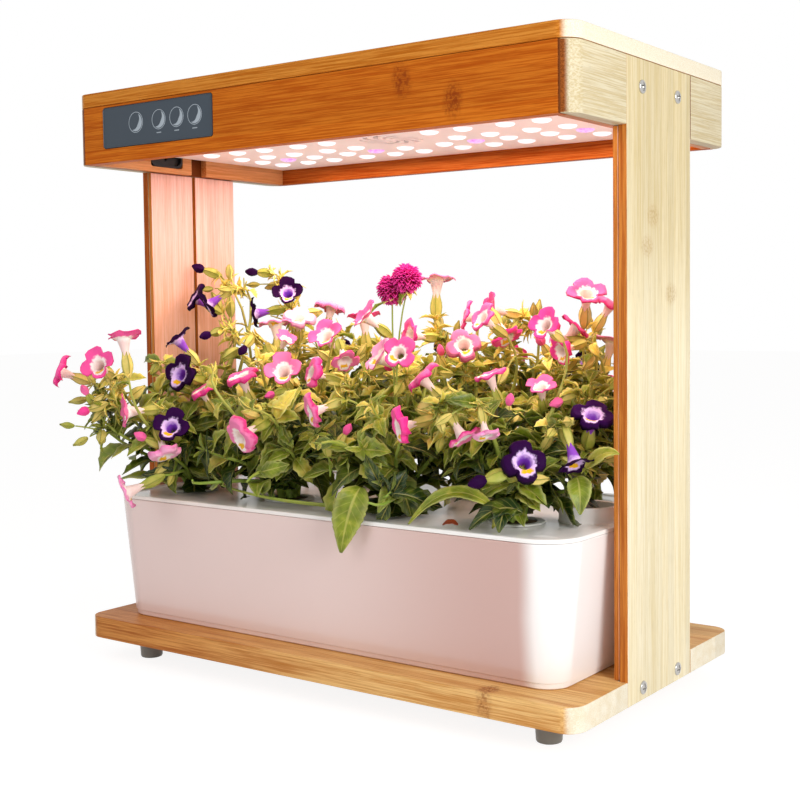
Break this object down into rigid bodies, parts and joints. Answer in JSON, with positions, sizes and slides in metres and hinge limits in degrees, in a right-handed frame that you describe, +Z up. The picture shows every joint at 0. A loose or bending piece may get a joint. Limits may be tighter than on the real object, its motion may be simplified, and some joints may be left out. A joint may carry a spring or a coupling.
{
  "type": "countertop hydroponic garden",
  "caption": "Bamboo stand with a lamp hood on side posts over a white water tank whose lid carries flowering plants in lift-out baskets.",
  "frame": {"origin": "on the standing surface, under the middle of the base board", "axes": "+Z up; +X to the right along the tank, seen from the front; -Y towards the touch panel's side"},
  "size_m": [0.4028, 0.2806, 0.4005],
  "materials": {
    "bamboo_amber": "oiled",
    "bamboo_pale": "oiled",
    "bamboo_inner": "oiled",
    "rubber": "matte",
    "screw_steel": "bright",
    "panel_slate": "satin",
    "circuit_board": "matte",
    "lamp_plate": "matte",
    "lens": "clear",
    "black_plastic": "matte",
    "tank_white": "gloss",
    "basket_white": "matte",
    "plant": "leafy"
  },
  "bodies": {
    "stand": {"base_board": "bamboo_amber", "hood_top_board": "bamboo_amber", "hood_front_board": "bamboo_amber", "hood_back_board": "bamboo_amber", "left_post_outer_board": "bamboo_pale", "right_post_outer_board": "bamboo_pale", "hood_left_side_board": "bamboo_pale", "hood_right_side_board": "bamboo_pale", "left_post_front_strip": "bamboo_inner", "left_post_rear_strip": "bamboo_inner", "right_post_front_strip": "bamboo_inner", "right_post_rear_strip": "bamboo_inner", "hood_left_front_block": "bamboo_inner", "hood_left_rear_block": "bamboo_inner", "hood_right_front_block": "bamboo_inner", "hood_right_rear_block": "bamboo_inner", "foot_front_left": "rubber", "foot_front_right": "rubber", "foot_rear_left": "rubber", "foot_rear_right": "rubber", "left_front_base_screw": "screw_steel", "left_front_hood_screw": "screw_steel", "left_rear_base_screw": "screw_steel", "left_rear_hood_screw": "screw_steel", "right_front_base_screw": "screw_steel", "right_front_hood_screw": "screw_steel", "right_rear_base_screw": "screw_steel", "right_rear_hood_screw": "screw_steel", "touch_panel": "panel_slate", "touch_board": "circuit_board", "led_board": "circuit_board", "led_plate": "lamp_plate", "lens_sheet": "lens", "fan_frame": "black_plastic", "control_box": "black_plastic", "power_inlet": "black_plastic", "pump_socket": "black_plastic"},
    "fan": {"fan_rotor": "black_plastic"},
    "tank": {"water_tank": "tank_white", "pump_housing": "black_plastic", "pump_cover": "black_plastic"},
    "impeller": {"pump_impeller": "black_plastic"},
    "lid": {"tank_lid": "tank_white"},
    "pod_front_1": {"planting_basket_front_1": "basket_white", "plant_front_1": "plant"},
    "pod_front_2": {"planting_basket_front_2": "basket_white", "plant_front_2": "plant"},
    "pod_front_3": {"planting_basket_front_3": "basket_white", "plant_front_3": "plant"},
    "pod_front_4": {"planting_basket_front_4": "basket_white", "plant_front_4": "plant"},
    "pod_rear_1": {"planting_basket_rear_1": "basket_white", "plant_rear_1": "plant"},
    "pod_rear_2": {"planting_basket_rear_2": "basket_white", "plant_rear_2": "plant"},
    "pod_rear_3": {"planting_basket_rear_3": "basket_white", "plant_rear_3": "plant"},
    "pod_rear_4": {"planting_basket_rear_4": "basket_white", "plant_rear_4": "plant"}
  },
  "joints": [
    {"name": "tank_slide", "type": "slide", "parent": "stand", "child": "tank", "axis": [0, -1, 0], "range_m": [0, 0.21]},
    {"name": "lid_lift", "type": "slide", "parent": "tank", "child": "lid", "axis": [0, 0, 1], "range_m": [0, 0.03]},
    {"name": "fan_spin", "type": "hinge", "parent": "stand", "child": "fan", "pos_m": [0, -0.002, 0.37005], "axis": [0, 0, 1], "continuous": true},
    {"name": "impeller_spin", "type": "hinge", "parent": "tank", "child": "impeller", "pos_m": [-0.13305, -0.0025, 0.0483], "axis": [1, 0, 0], "continuous": true},
    {"name": "pod_front_1_lift", "type": "slide", "parent": "lid", "child": "pod_front_1", "axis": [0, 0, 1], "range_m": [0, 0.03]},
    {"name": "pod_front_2_lift", "type": "slide", "parent": "lid", "child": "pod_front_2", "axis": [0, 0, 1], "range_m": [0, 0.03]},
    {"name": "pod_front_3_lift", "type": "slide", "parent": "lid", "child": "pod_front_3", "axis": [0, 0, 1], "range_m": [0, 0.03]},
    {"name": "pod_front_4_lift", "type": "slide", "parent": "lid", "child": "pod_front_4", "axis": [0, 0, 1], "range_m": [0, 0.03]},
    {"name": "pod_rear_1_lift", "type": "slide", "parent": "lid", "child": "pod_rear_1", "axis": [0, 0, 1], "range_m": [0, 0.03]},
    {"name": "pod_rear_2_lift", "type": "slide", "parent": "lid", "child": "pod_rear_2", "axis": [0, 0, 1], "range_m": [0, 0.03]},
    {"name": "pod_rear_3_lift", "type": "slide", "parent": "lid", "child": "pod_rear_3", "axis": [0, 0, 1], "range_m": [0, 0.03]},
    {"name": "pod_rear_4_lift", "type": "slide", "parent": "lid", "child": "pod_rear_4", "axis": [0, 0, 1], "range_m": [0, 0.03]}
  ]
}
